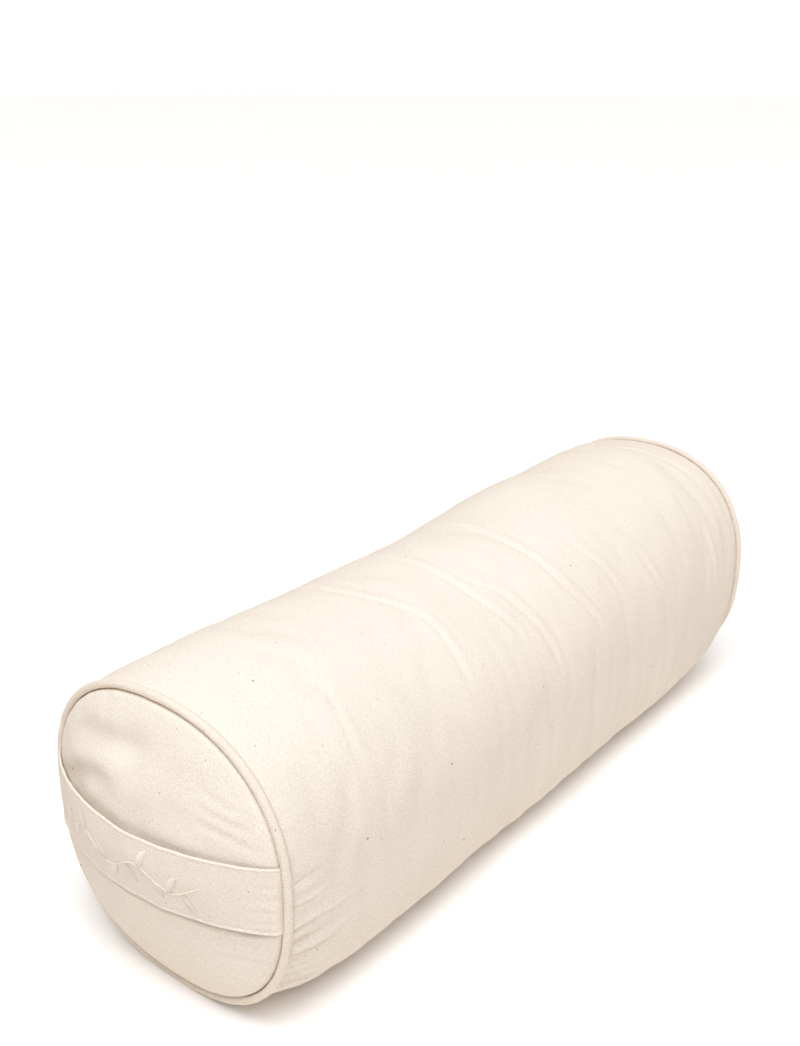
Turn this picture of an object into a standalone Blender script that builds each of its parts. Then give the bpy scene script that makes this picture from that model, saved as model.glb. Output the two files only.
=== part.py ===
"""Round floor bolster: a canvas cover with piped ends, a handle and a long zip, round an inner bag of hulls.

The bolster lies along Y with its handle at the -Y end. The floor is z = 0, and the origin is the middle of
the flat underside, halfway between the two end seams. Lengths are in metres.
"""

import math

import bmesh
import bpy
from mathutils import Vector

# The body: a soft round section with a flat underside, lofted along Y.
SEAM_LENGTH = 0.650
HALF_WIDTH = 0.1135
WIDEST_Z = 0.117
TOP_HEIGHTS = (0.2203, 0.2256, 0.2234, 0.2224, 0.2257, 0.2322, 0.2384, 0.2401, 0.2343)
BODY_ROUNDNESS = (2.16, 3.98)  # superellipse exponents of the upper and the lower half, away from the ends
SEAM_ROUNDNESS = (2.30, 2.44)  # and at the end seams
SEAM_REACH = 0.050  # how far from a seam the section still changes
SEAM_DROP = 0.0035  # how far the body tucks in at a seam
TUCK_REACH = 0.018  # over what length it tucks in
LEAST_TUCK = 0.00005
UNDERSIDE_PRESS = 0.0015  # how far the section is pressed flat on the floor

# Fabrics and gaps.
GAP = 0.0003
CANVAS = 0.0010
BAG_CLOTH = 0.0007
BAG_INSET = 0.0042  # the inner bag lies this far inside the cover's outer face
BAG_SEAM_INSET = 0.0050  # and its end seams this far inside the cover's
BAG_TUCK = 0.0100  # its radius is this much smaller again at its seams
END_BULGE = {"front": 0.0315, "rear": 0.0300}  # the end panels' crowns, out from the seams
CROWN_POWER = 0.84

# Piping round both ends.
PIPING_RADIUS = 0.0034
PIPING_INSET = 0.0035
PIPING_CLOTH = 0.0006
CORD_RADIUS = 0.0024
SEAM_TAIL = 0.0060
TAIL_GAP = 0.0008
PANEL_RIM_INSET = PIPING_INSET + PIPING_RADIUS + 2 * GAP
PANEL_RIM_OUT = TAIL_GAP / 2 + PIPING_CLOTH + CANVAS + 2 * GAP

# Carry handle, a two-layer canvas strap across the front end.
STRAP_WIDTH = 0.048
STRAP_Z = 0.1165
STRAP_LAYER = 0.0009
STRAP_REACH = 0.1040  # from the middle to where the strap goes into the seam
GRIP_HALF = 0.0450  # the stretch that lifts off when it is held
STRAP_LIFT = 0.0052  # the finger gap at the middle of the strap
STRAP_SEAM_LIFT = 0.0010  # and beside the seam

# Zip along the widest line of the -X side.
ZIP_LENGTH = 0.500
SLOT_HEIGHT = 0.0104
TAPE_WIDTH = 0.0100
TAPE_THICKNESS = 0.0005
TAPE_DEPTH = 0.0021  # of its outer face, in from the cover's outer face
COIL_WIDTH = 0.0026
COIL_THICKNESS = 0.0022
COIL_GAP = 0.0016
COIL_DEPTH = -0.0009
STOP_LENGTH = 0.0030
SLIDER_LENGTH = 0.0100
SLIDER_WIDTH = 0.0088
SLIDER_PLATE = 0.0010
SLIDER_TOP_DEPTH = -0.0024
SLIDER_BASE_DEPTH = 0.0029
SLIDER_BASE = 0.0008
BRIDGE = 0.0009
BRIDGE_LENGTH = 0.0030
SLIDER_LIP = 0.0007
WELD = 0.0002  # how deep joined blocks run into each other
PIN_DEPTH = -0.0046
PIN_RADIUS = 0.0005
EYE_RADIUS = 0.0013
EYE_BORE = 0.0008
TAB_NECK = 0.0030
TAB_WIDTH = 0.0060
TAB_LENGTH = 0.0240
TAB_THICKNESS = 0.0011
EAR_THICKNESS = 0.0008
EAR_REACH = 0.0012  # of an ear to each side of the pin, along the zip
EAR_RISE = 0.0011  # and beyond it
TAB_NECK_END = 0.0052
TAB_BLADE_START = 0.0040
TAB_HOLE = (0.0170, 0.0218)
TAB_RIM = 0.0018  # beside the hole

AROUND = 40  # points round the cover
BAG_AROUND = 28  # and round the inner bag


def clear_scene():
    for obj in list(bpy.data.objects):
        bpy.data.objects.remove(obj)


def collection(name):
    made = bpy.data.collections.new(name)
    bpy.context.scene.collection.children.link(made)
    return made


def material(name, colour, roughness, metallic=0.0):
    made = bpy.data.materials.new(name)
    made.use_nodes = True
    shader = made.node_tree.nodes["Principled BSDF"]
    shader.inputs["Base Color"].default_value = (*colour, 1.0)
    shader.inputs["Roughness"].default_value = roughness
    shader.inputs["Metallic"].default_value = metallic
    return made


def top_height(u):
    """Height of the bolster's top at u, which runs from -1 at the front seam to 1 at the rear seam."""
    at = (min(max(u, -1.0), 1.0) + 1.0) / 2.0 * (len(TOP_HEIGHTS) - 1)
    i = min(int(at), len(TOP_HEIGHTS) - 2)
    t = at - i
    last = len(TOP_HEIGHTS) - 1
    before, low = TOP_HEIGHTS[max(i - 1, 0)], TOP_HEIGHTS[i]
    high, after = TOP_HEIGHTS[i + 1], TOP_HEIGHTS[min(i + 2, last)]
    slope_low, slope_high = (high - before) / 2, (after - low) / 2
    return (
        low
        + slope_low * t
        + (3 * (high - low) - 2 * slope_low - slope_high) * t**2
        + (2 * (low - high) + slope_low + slope_high) * t**3
    )


def round_section(u, y, inset, count, press=UNDERSIDE_PRESS):
    """Points round the bolster at u, drawn in by inset, in the plane of y, from the widest one at +X."""
    from_seam = (1.0 - abs(u)) * SEAM_LENGTH / 2
    seam_share = math.exp(-((from_seam / SEAM_REACH) ** 1.5))
    points = []
    for k in range(count):
        angle = 2 * math.pi * k / count
        cosine, sine = math.cos(angle), math.sin(angle)
        half = 0 if sine >= 0 else 1
        power = BODY_ROUNDNESS[half] + (SEAM_ROUNDNESS[half] - BODY_ROUNDNESS[half]) * seam_share
        reach = (abs(cosine) ** power + abs(sine) ** power) ** (-1 / power)
        rise = top_height(u) - WIDEST_Z if half == 0 else WIDEST_Z
        x = (HALF_WIDTH - inset) * reach * cosine
        z = WIDEST_Z + (rise - inset) * reach * sine
        lowest = inset if press else 0.0
        points.append(Vector((x, y, max(z - press * max(-sine, 0), lowest))))
    return points


def tuck(u):
    """How far the body draws in at u, towards the seams. It is nothing along the middle."""
    from_seam = (1.0 - abs(u)) * SEAM_LENGTH / 2
    drawn_in = SEAM_DROP * math.exp(-((from_seam / TUCK_REACH) ** 1.2))
    return drawn_in if drawn_in > LEAST_TUCK else 0.0


def stations(end_share, near, steps):
    """Values of u along the body, out to end_share of the way to each seam.

    near lists shares of that reach, close to a seam, and steps is the number of even steps between them.
    """
    last = near[-1] - 0.08
    middle = [-last + 2 * last * k / steps for k in range(steps + 1)]
    shares = [-n for n in near] + middle + list(reversed(near))
    return [end_share * share for share in shares]


def new_object(name, mesh, where, look=None):
    obj = bpy.data.objects.new(name, mesh)
    where.objects.link(obj)
    if look is not None:
        mesh.materials.append(look)
    return obj


def loft(name, rings, where, look=None, close_rings=False, cap=False):
    """A skin over rings of points. cap fills the end rings, and close_rings joins the last to the first."""
    mesh = bpy.data.meshes.new(name)
    work = bmesh.new()
    rows = [[work.verts.new(p) for p in ring] for ring in rings]
    pairs = list(zip(rows, rows[1:]))
    if close_rings:
        pairs.append((rows[-1], rows[0]))
    for low, high in pairs:
        for k in range(len(low)):
            following = (k + 1) % len(low)
            work.faces.new((low[k], low[following], high[following], high[k]))
    if cap:
        work.faces.new(rows[0][::-1])
        work.faces.new(rows[-1])
    bmesh.ops.recalc_face_normals(work, faces=work.faces)
    work.to_mesh(mesh)
    work.free()
    mesh.shade_smooth()
    mesh.set_sharp_from_angle(angle=math.radians(50))
    return new_object(name, mesh, where, look)


def solidify(obj, thickness):
    """Gives an open skin its cloth thickness, inwards from the drawn face."""
    shell = obj.modifiers.new("thickness", "SOLIDIFY")
    shell.thickness = thickness
    shell.offset = -1.0
    return obj


def box(name, low, high, where, look=None, soften=0.0):
    """A block between two corners, with its edges softened."""
    mesh = bpy.data.meshes.new(name)
    work = bmesh.new()
    bmesh.ops.create_cube(work, size=1.0)
    size = Vector(high) - Vector(low)
    bmesh.ops.scale(work, vec=size, verts=work.verts)
    work.to_mesh(mesh)
    work.free()
    obj = new_object(name, mesh, where, look)
    obj.location = (Vector(high) + Vector(low)) / 2
    if soften:
        edge = obj.modifiers.new("soft edges", "BEVEL")
        edge.width = soften
        edge.segments = 2
    return obj


def rod(name, centre, radius, length, where, look=None, sides=20):
    """An upright cylinder, along Z."""
    mesh = bpy.data.meshes.new(name)
    work = bmesh.new()
    bmesh.ops.create_cone(
        work, cap_ends=True, segments=sides, radius1=radius, radius2=radius, depth=length
    )
    work.to_mesh(mesh)
    work.free()
    mesh.shade_smooth()
    mesh.set_sharp_from_angle(angle=math.radians(50))
    obj = new_object(name, mesh, where, look)
    obj.location = centre
    return obj


def helper(obj):
    obj.hide_render = True
    obj.display_type = "WIRE"
    return obj


def boolean(obj, other, operation):
    step = obj.modifiers.new(operation.lower(), "BOOLEAN")
    step.operation = operation
    step.object = helper(other)


def crown(share):
    """How far an end stands out at a share of its radius, as a share of its whole bulge."""
    return max(0.0, 1.0 - share**2) ** CROWN_POWER


def end_skin(name, rim, middle, bulge, sign, shares, where, look):
    """A domed disc from its rim of points in to its middle, standing out along Y by bulge."""
    rings = []
    for share in shares:
        ring = []
        for p in rim:
            q = middle.lerp(p, share)
            ring.append(Vector((q.x, q.y + sign * bulge * crown(share), q.z)))
        rings.append(ring)
    mesh = bpy.data.meshes.new(name)
    work = bmesh.new()
    rows = [[work.verts.new(p) for p in ring] for ring in rings]
    for outer, inner in zip(rows, rows[1:]):
        for k in range(len(outer)):
            following = (k + 1) % len(outer)
            work.faces.new((outer[k], outer[following], inner[following], inner[k]))
    tip = work.verts.new(middle + Vector((0, sign * bulge, 0)))
    last = rows[-1]
    for k in range(len(last)):
        work.faces.new((last[k], last[(k + 1) % len(last)], tip))
    bmesh.ops.recalc_face_normals(work, faces=work.faces)
    outward = sum((f.normal.y * sign for f in work.faces), 0.0)
    if outward < 0:
        bmesh.ops.reverse_faces(work, faces=work.faces)
    work.to_mesh(mesh)
    work.free()
    mesh.shade_smooth()
    return new_object(name, mesh, where, look)


def cover_wrap(parts, cutters, canvas):
    """The rolled body panel, with a straight slot for the zip in its -X side."""
    stop_short = 1.0 - (PIPING_RADIUS + GAP) / (SEAM_LENGTH / 2)
    rings = []
    for u in stations(stop_short, (1.0, 0.985, 0.955, 0.90), 11):
        rings.append(round_section(u, u * SEAM_LENGTH / 2, tuck(u), AROUND))
    wrap = solidify(loft("cover_wrap", rings, parts, canvas), CANVAS)
    # The skin's own normals point out, so that the cloth is added inside it.
    slot_half = SLOT_HEIGHT / 2
    cutter = box(
        "zip_slot_cutter",
        (-HALF_WIDTH - 0.010, -ZIP_LENGTH / 2, WIDEST_Z - slot_half),
        (-HALF_WIDTH + 0.010, ZIP_LENGTH / 2, WIDEST_Z + slot_half),
        cutters,
    )
    boolean(wrap, cutter, "DIFFERENCE")


def seam_middle(u, y):
    ring = round_section(u, y, 0.0, AROUND, press=0.0)
    low, high = min(p.z for p in ring), max(p.z for p in ring)
    return Vector((0.0, y, (low + high) / 2))


def end_panels(parts, canvas):
    """The two domed canvas discs, sewn in just outside the piping."""
    for end, sign in (("front", -1), ("rear", 1)):
        y = sign * (SEAM_LENGTH / 2 + PANEL_RIM_OUT)
        rim = round_section(sign, y, PANEL_RIM_INSET, AROUND, press=0.0)
        bulge = END_BULGE[end] - PANEL_RIM_OUT
        shares = (1.0, 0.96, 0.88, 0.74, 0.54, 0.28)
        middle = seam_middle(sign, y)
        skin = end_skin(f"{end}_end_panel", rim, middle, bulge, sign, shares, parts, canvas)
        solidify(skin, CANVAS)


def piping_outline():
    """Section of the folded piping strip: round the cord, then two tails side by side into the seam.

    Each point is (out, along): out from the bolster's axis, and along it.
    """
    inner = PIPING_RADIUS - PIPING_CLOTH
    turns = 6
    open_angle = math.asin((TAIL_GAP / 2 + PIPING_CLOTH) / PIPING_RADIUS)
    inner_angle = math.asin(TAIL_GAP / 2 / inner)
    outer_arc, inner_arc = [], []
    for k in range(turns + 1):
        t = k / turns
        a = math.pi - open_angle - t * 2 * (math.pi - open_angle)
        b = math.pi - inner_angle - t * 2 * (math.pi - inner_angle)
        outer_arc.append((PIPING_RADIUS * math.cos(a), PIPING_RADIUS * math.sin(a)))
        inner_arc.append((inner * math.cos(b), inner * math.sin(b)))
    tail_out, tail_in = TAIL_GAP / 2 + PIPING_CLOTH, TAIL_GAP / 2
    end = -PIPING_RADIUS - SEAM_TAIL
    upper_tail = [(end, tail_out)]
    lower_tail = [(end, -tail_out), (end, -tail_in)]
    return upper_tail + outer_arc + lower_tail + inner_arc[::-1] + [(end, tail_in)]


def piping(parts, piping_cloth, cord_look):
    """A cotton cord in a folded bias strip, round each end seam."""
    outline = piping_outline()
    for end, sign in (("front", -1), ("rear", 1)):
        y = sign * SEAM_LENGTH / 2
        path = round_section(sign, y, PIPING_INSET, AROUND, press=0.0)
        lift = PIPING_RADIUS + GAP - min(p.z for p in path)
        centre = seam_middle(sign, y)
        for p in path:
            # The lowest points rise a little, so that the piping only touches the floor.
            p.z += lift * max(0.0, (centre.z - p.z) / centre.z)
        rings = []
        for k, p in enumerate(path):
            tangent = (path[(k + 1) % AROUND] - path[k - 1]).normalized()
            out = tangent.cross(Vector((0, 1, 0))).normalized()
            if out.dot(p - centre) < 0:
                out.negate()
            rings.append([p + out * r + Vector((0, a, 0)) for r, a in outline])
        loft(f"{end}_piping_strip", rings, parts, piping_cloth, close_rings=True)
        curve = bpy.data.curves.new(f"{end}_piping_cord", "CURVE")
        curve.dimensions = "3D"
        curve.bevel_depth = CORD_RADIUS
        curve.bevel_resolution = 1
        line = curve.splines.new("POLY")
        line.points.add(AROUND - 1)
        for point, p in zip(line.points, path):
            point.co = (*p, 1.0)
        line.use_cyclic_u = True
        new_object(f"{end}_piping_cord", curve, parts, cord_look)


def strap_face(x, layers):
    """Y of the strap's inner face at x, plus a number of layers outwards."""
    share = abs(x) / (HALF_WIDTH - PANEL_RIM_INSET)
    dome = PANEL_RIM_OUT + (END_BULGE["front"] - PANEL_RIM_OUT) * crown(share)
    rest = STRAP_SEAM_LIFT + (STRAP_LIFT - STRAP_SEAM_LIFT) * (1 - (x / STRAP_REACH) ** 2)
    return -SEAM_LENGTH / 2 - dome - rest - layers * (STRAP_LAYER + GAP)


def handle(parts, canvas):
    """The strap's face and backing, each as a grip and two legs that run into the seam."""
    stretches = {
        "left_leg": (-STRAP_REACH, -GRIP_HALF - GAP / 2),
        "grip": (-GRIP_HALF + GAP / 2, GRIP_HALF - GAP / 2),
        "right_leg": (GRIP_HALF + GAP / 2, STRAP_REACH),
    }
    for layer, name in enumerate(("backing", "face")):
        half = STRAP_WIDTH / 2
        for stretch, (start, stop) in stretches.items():
            rings = []
            steps = 6
            for k in range(steps + 1):
                x = start + (stop - start) * k / steps
                inner = strap_face(x, layer)
                outer = inner - STRAP_LAYER
                rings.append(
                    [
                        Vector((x, inner, STRAP_Z - half)),
                        Vector((x, inner, STRAP_Z + half)),
                        Vector((x, outer, STRAP_Z + half)),
                        Vector((x, outer, STRAP_Z - half)),
                    ]
                )
            loft(f"handle_{name}_{stretch}", rings, parts, canvas, cap=True)


def side_box(name, depths, along, up, where, look=None, soften=0.0):
    """A block on the -X side: depths in from the cover's face, along Y, and up from the zip's line."""
    low = (-HALF_WIDTH + min(depths), along[0], WIDEST_Z + up[0])
    high = (-HALF_WIDTH + max(depths), along[1], WIDEST_Z + up[1])
    return box(name, low, high, where, look, soften)


def zip_rows(parts, tape_look, coil_look, metal):
    """The two tapes, their coils, and the stops at the coils' ends."""
    tape_end = ZIP_LENGTH / 2 + 0.010
    coil_end = ZIP_LENGTH / 2 - STOP_LENGTH - 2 * GAP
    coil_depths = (COIL_DEPTH, COIL_DEPTH + COIL_THICKNESS)
    for name, sign in (("upper", 1), ("lower", -1)):
        middle = sign * (COIL_GAP / 2)
        tape = sorted((middle, sign * (COIL_GAP / 2 + TAPE_WIDTH)))
        coil = sorted((middle, sign * (COIL_GAP / 2 + COIL_WIDTH)))
        depths = (TAPE_DEPTH, TAPE_DEPTH + TAPE_THICKNESS)
        side_box(f"zip_tape_{name}", depths, (-tape_end, tape_end), tape, parts, tape_look)
        side_box(f"zip_coil_{name}", coil_depths, (-coil_end, coil_end), coil, parts, coil_look)
    for name, sign in (("closed_end", -1), ("open_end", 1)):
        ends = sorted((sign * (coil_end + GAP), sign * (coil_end + GAP + STOP_LENGTH)))
        reach = COIL_GAP / 2 + COIL_WIDTH
        side_box(f"zip_stop_{name}", coil_depths, ends, (-reach, reach), parts, metal, 0.0003)


def zip_slider(parts, cutters, metal):
    """The slider at the closed end: two plates on a bridge, side lips, and two ears for the pull's pin."""
    start = -ZIP_LENGTH / 2 + STOP_LENGTH + 3 * GAP
    stop = start + SLIDER_LENGTH
    half = SLIDER_WIDTH / 2
    top = (SLIDER_TOP_DEPTH, SLIDER_TOP_DEPTH + SLIDER_PLATE)
    base = (SLIDER_BASE_DEPTH, SLIDER_BASE_DEPTH + SLIDER_BASE)
    slider = side_box("zip_slider", top, (start, stop), (-half, half), parts, metal)
    joined = [side_box("slider_base", base, (start, stop), (-half, half), cutters)]
    joined.append(
        side_box(
            "slider_bridge",
            (top[0] + WELD, base[1] - WELD),
            (start + WELD, start + BRIDGE_LENGTH),
            (-BRIDGE / 2, BRIDGE / 2),
            cutters,
        )
    )
    for sign in (-1, 1):
        side = sorted((sign * (half - SLIDER_LIP), sign * half))
        reach = (top[0] + WELD, TAPE_DEPTH - 2 * GAP)
        along = (start + WELD / 2, stop - WELD / 2)
        joined.append(side_box(f"slider_lip_{sign}", reach, along, side, cutters))
    pin_y = (start + stop) / 2
    ear_low = TAB_NECK / 2 + GAP
    for sign in (-1, 1):
        up = sorted((sign * ear_low, sign * (ear_low + EAR_THICKNESS)))
        ear = (PIN_DEPTH - EAR_RISE, top[1] - WELD)
        along = (pin_y - EAR_REACH, pin_y + EAR_REACH)
        joined.append(side_box(f"slider_ear_{sign}", ear, along, up, cutters))
    for piece in joined:
        boolean(slider, piece, "UNION")
    reach = ear_low + EAR_THICKNESS
    pin_place = Vector((-HALF_WIDTH + PIN_DEPTH, pin_y, WIDEST_Z))
    bore = rod("slider_pin_bore", pin_place, PIN_RADIUS + GAP, 2 * reach + 0.004, cutters)
    boolean(slider, bore, "DIFFERENCE")
    rod("zip_pull_pin", pin_place, PIN_RADIUS, 2 * reach + 0.0006, parts, metal)
    return pin_place


def zip_pull(parts, cutters, metal, pin_place):
    """The pull tab, with an eye round its pin. Its origin is on the pin's axis, and it lies along +Y."""
    empty = bpy.data.objects.new("zip_pull_axis", None)
    parts.objects.link(empty)
    empty.location = pin_place
    half = TAB_THICKNESS / 2
    eye = rod("zip_pull_tab", Vector((0, 0, 0)), EYE_RADIUS, TAB_NECK, parts, metal)
    neck = box(
        "tab_neck",
        (-half, EYE_BORE + WELD, -TAB_NECK / 2 + WELD / 2),
        (half, TAB_NECK_END, TAB_NECK / 2 - WELD / 2),
        cutters,
    )
    blade = box(
        "tab_blade",
        (-half + WELD / 4, TAB_BLADE_START, -TAB_WIDTH / 2),
        (half - WELD / 4, TAB_LENGTH, TAB_WIDTH / 2),
        cutters,
    )
    bore = rod("tab_pin_bore", Vector((0, 0, 0)), EYE_BORE, 0.010, cutters)
    hole = box(
        "tab_hole",
        (-TAB_WIDTH / 2, TAB_HOLE[0], -TAB_WIDTH / 2 + TAB_RIM),
        (TAB_WIDTH / 2, TAB_HOLE[1], TAB_WIDTH / 2 - TAB_RIM),
        cutters,
    )
    for piece in (eye, neck, blade, bore, hole):
        piece.parent = empty
    boolean(eye, neck, "UNION")
    boolean(eye, blade, "UNION")
    boolean(eye, bore, "DIFFERENCE")
    boolean(eye, hole, "DIFFERENCE")


def inner_bag(parts, bag_look, filling_look):
    """The cotton bag inside the cover and the hulls that fill it."""
    end = 1.0 - BAG_SEAM_INSET / (SEAM_LENGTH / 2)

    def bag_rings(extra):
        rings = []
        for u in stations(end - extra / (SEAM_LENGTH / 2), (1.0, 0.97, 0.91), 7):
            inset = BAG_INSET + extra + tuck(u) + BAG_TUCK * tuck(u) / SEAM_DROP
            rings.append(round_section(u, u * SEAM_LENGTH / 2, inset, BAG_AROUND))
        return rings

    rings = bag_rings(0.0)
    solidify(loft("inner_bag_wrap", rings, parts, bag_look), BAG_CLOTH)
    shares = (1.0, 0.94, 0.80, 0.58, 0.30)
    for name, sign, rim in (("front", -1, rings[0]), ("rear", 1, rings[-1])):
        push = Vector((0, sign * (BAG_CLOTH + GAP), 0))
        middle = sum(rim, Vector()) / len(rim) + push
        bulge = END_BULGE[name] - 0.004
        moved = [p + push for p in rim]
        disc = end_skin(f"inner_bag_{name}_disc", moved, middle, bulge, sign, shares, parts, bag_look)
        solidify(disc, BAG_CLOTH)
    fill = bag_rings(BAG_CLOTH + GAP)
    caps = []
    for sign, rim in ((-1, fill[0]), (1, fill[-1])):
        middle = sum(rim, Vector()) / len(rim)
        bulge = END_BULGE["front" if sign < 0 else "rear"] - 0.004
        caps.append([
            [middle.lerp(p, s) + Vector((0, sign * bulge * crown(s), 0)) for p in rim]
            for s in shares[1:]
        ])
    loft("hull_filling", caps[0][::-1] + fill + caps[1], parts, filling_look, cap=True)


def build():
    clear_scene()
    parts = collection("bolster")
    cutters = collection("cutters")
    canvas = material("cream canvas", (0.84, 0.74, 0.62), 0.9)
    piping_cloth = material("piping strip", (0.83, 0.72, 0.59), 0.9)
    cord_look = material("piping cord", (0.85, 0.82, 0.76), 0.95)
    bag_look = material("inner cotton", (0.86, 0.83, 0.77), 0.9)
    filling_look = material("hulls", (0.20, 0.13, 0.08), 0.8)
    tape_look = material("zip tape", (0.80, 0.71, 0.60), 0.85)
    coil_look = material("zip coil", (0.80, 0.72, 0.61), 0.4)
    metal = material("zip metal", (0.62, 0.60, 0.56), 0.3, 1.0)
    cover_wrap(parts, cutters, canvas)
    end_panels(parts, canvas)
    piping(parts, piping_cloth, cord_look)
    handle(parts, canvas)
    zip_rows(parts, tape_look, coil_look, metal)
    pin_place = zip_slider(parts, cutters, metal)
    zip_pull(parts, cutters, metal, pin_place)
    inner_bag(parts, bag_look, filling_look)


build()
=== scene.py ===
import math

import bpy
import numpy as np
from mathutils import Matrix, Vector


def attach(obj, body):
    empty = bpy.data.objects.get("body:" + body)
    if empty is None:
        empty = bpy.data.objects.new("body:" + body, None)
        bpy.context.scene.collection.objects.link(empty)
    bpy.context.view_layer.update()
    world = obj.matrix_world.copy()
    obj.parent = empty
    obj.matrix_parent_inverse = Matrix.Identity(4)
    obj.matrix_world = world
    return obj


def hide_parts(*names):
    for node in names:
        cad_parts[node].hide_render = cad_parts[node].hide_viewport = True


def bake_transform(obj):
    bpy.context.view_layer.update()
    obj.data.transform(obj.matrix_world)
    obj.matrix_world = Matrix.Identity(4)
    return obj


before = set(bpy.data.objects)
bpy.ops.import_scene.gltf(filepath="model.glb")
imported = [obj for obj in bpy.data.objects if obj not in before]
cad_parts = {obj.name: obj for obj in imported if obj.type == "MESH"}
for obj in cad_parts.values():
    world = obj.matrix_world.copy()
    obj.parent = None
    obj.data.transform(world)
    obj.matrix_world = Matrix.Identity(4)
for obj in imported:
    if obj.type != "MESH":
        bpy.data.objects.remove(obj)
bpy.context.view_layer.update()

# The body's shape: y runs along the bolster, and u = y / HALF_LENGTH. It is part.py's, apart from the
# ends' lean, a front bulge 0.5 mm larger and thinner piping that is set less deep.
HALF_LENGTH = 0.325
HALF_WIDTH = 0.1135
WIDEST_Z = 0.117
TOP_HEIGHTS = np.array([0.2203, 0.2256, 0.2234, 0.2224, 0.2257, 0.2322, 0.2384, 0.2401, 0.2343])
BODY_ROUNDNESS = (2.16, 3.98)
SEAM_ROUNDNESS = (2.30, 2.44)
SEAM_REACH = 0.050
SEAM_DROP = 0.0035
TUCK_REACH = 0.018
UNDERSIDE_PRESS = 0.0015
END_LEAN = {-1: 0.014, 1: 0.0075}  # how far an end leans towards +Y, per metre of height
END_BULGE = {-1: 0.0320, 1: 0.0300}
CROWN_POWER = 0.84
PANEL_RADIUS = 0.1065  # that the rows of an end panel are laid out for
PIPING_RADIUS = 0.0030
PIPING_INSET = 0.0031

# The strap across the front end.
STRAP_WIDTH = 0.048
STRAP_Z = 0.1165
STRAP_THICKNESS = 0.0019
STRAP_LIFT = 0.0050
STRAP_SEAM_LIFT = 0.0003
STRAP_END = 0.1078
HEM = 0.0030  # from the strap's edges to their stitching

SETTLED_SHARE = 0.20  # how much of the cloth simulation's wrinkles is kept
SETTLED_LIMIT = 0.0012

END_NAMES = {-1: "front", 1: "rear"}
HALF_NAMES = {-1: "left", 1: "right"}
ROW_NAMES = {1: "upper", -1: "lower"}
FORWARD = (0.0, -1.0, 0.0)

# The zip on the -X side.
ZIP_HALF = 0.250
SLOT_HALF = 0.0050
HEM_ROLL = 0.0010
HEM_STITCH = 0.0055
COIL_HALF = 0.2464
COIL_PITCH = 0.0013

CANVAS_COLOUR = (0.89, 0.775, 0.652)
PIPING_COLOUR = (0.88, 0.748, 0.622)
THREAD_COLOUR = (0.90, 0.78, 0.65)

# Camera and light.
CAMERA_TURN = 38.70
CAMERA_RISE = 20.74
CAMERA_DISTANCE = 1.0261
CAMERA_TARGET = (-0.0809, 0.0208, 0.2126)
CAMERA_LENS = 39.95
FLOOR_COLOUR = (0.98, 0.94, 0.90, 1)
FILL_COLOUR = (1.0, 0.87, 0.79, 1)
LIGHT_COLOUR = (0.95, 1.07, 1.17)
FILL_LIGHT = 0.41
KEY_LIGHT = 2.22
KEY_FROM = (0.28, -0.28, 1.0)
LAMP_LIGHT = 6.5
LAMP_FROM = (0.35, -0.75, 1.6)
FLOOR_GLOW = 0.05  # the floor shines a little, so that its shadows stay pale


# Numbers and noise


def smooth_step(x, low, high):
    t = np.clip((x - low) / (high - low), 0.0, 1.0)
    return t * t * (3 - 2 * t)


def bell(x, width):
    return np.exp(-((x / width) ** 2))


def through(points, at):
    """A smooth curve through (where, value) points, read at the places in at."""
    where, value = np.array(sorted(points)).T
    slope = np.gradient(value, where)
    i = np.clip(np.searchsorted(where, at) - 1, 0, len(where) - 2)
    gap = where[i + 1] - where[i]
    t = np.clip((at - where[i]) / gap, 0.0, 1.0)
    rise = value[i + 1] - value[i]
    return (
        value[i]
        + slope[i] * gap * t
        + (3 * rise - (2 * slope[i] + slope[i + 1]) * gap) * t**2
        + ((slope[i] + slope[i + 1]) * gap - 2 * rise) * t**3
    )


def far_along(line):
    """How far along a line each of its points lies."""
    return np.concatenate([[0], np.cumsum(np.linalg.norm(np.diff(line, axis=0), axis=1))])


def closed_plan(plan):
    """A grid's plan with its first column again after its last, for a grid that closes."""
    return np.concatenate([plan, plan[:, :1]], 1)


def waves(seed, count, turns, lengths, share, y):
    """Smooth noise round a closed strip: a sum of waves in share (one turn is 1) and y, about -1 to 1."""
    draw = np.random.default_rng(seed)
    total = np.zeros(np.broadcast(share, y).shape)
    for _ in range(count):
        n = draw.integers(turns[0], turns[1] + 1) * draw.choice((-1, 1))
        length = draw.uniform(*lengths)
        phase = draw.uniform(0, 2 * math.pi)
        total += np.cos(2 * math.pi * (n * share + y / length) + phase)
    return total / math.sqrt(count / 2) / 2


def patches(seed, count, lengths, a, b):
    """Smooth noise on a plane with waves of the given lengths in every direction, about -1 to 1."""
    draw = np.random.default_rng(seed)
    total = np.zeros(np.broadcast(a, b).shape)
    for _ in range(count):
        angle, length = draw.uniform(0, math.pi), draw.uniform(*lengths)
        phase = draw.uniform(0, 2 * math.pi)
        total += np.cos(2 * math.pi * (a * math.cos(angle) + b * math.sin(angle)) / length + phase)
    return total / math.sqrt(count / 2) / 2


# The body's shape


def top_height(u):
    at = (np.clip(u, -1, 1) + 1) / 2 * (len(TOP_HEIGHTS) - 1)
    i = np.minimum(at.astype(int), len(TOP_HEIGHTS) - 2)
    t = at - i
    last = len(TOP_HEIGHTS) - 1
    before, low = TOP_HEIGHTS[np.maximum(i - 1, 0)], TOP_HEIGHTS[i]
    high, after = TOP_HEIGHTS[i + 1], TOP_HEIGHTS[np.minimum(i + 2, last)]
    slope_low, slope_high = (high - before) / 2, (after - low) / 2
    return (
        low
        + slope_low * t
        + (3 * (high - low) - 2 * slope_low - slope_high) * t**2
        + (2 * (low - high) + slope_low + slope_high) * t**3
    )


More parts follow.
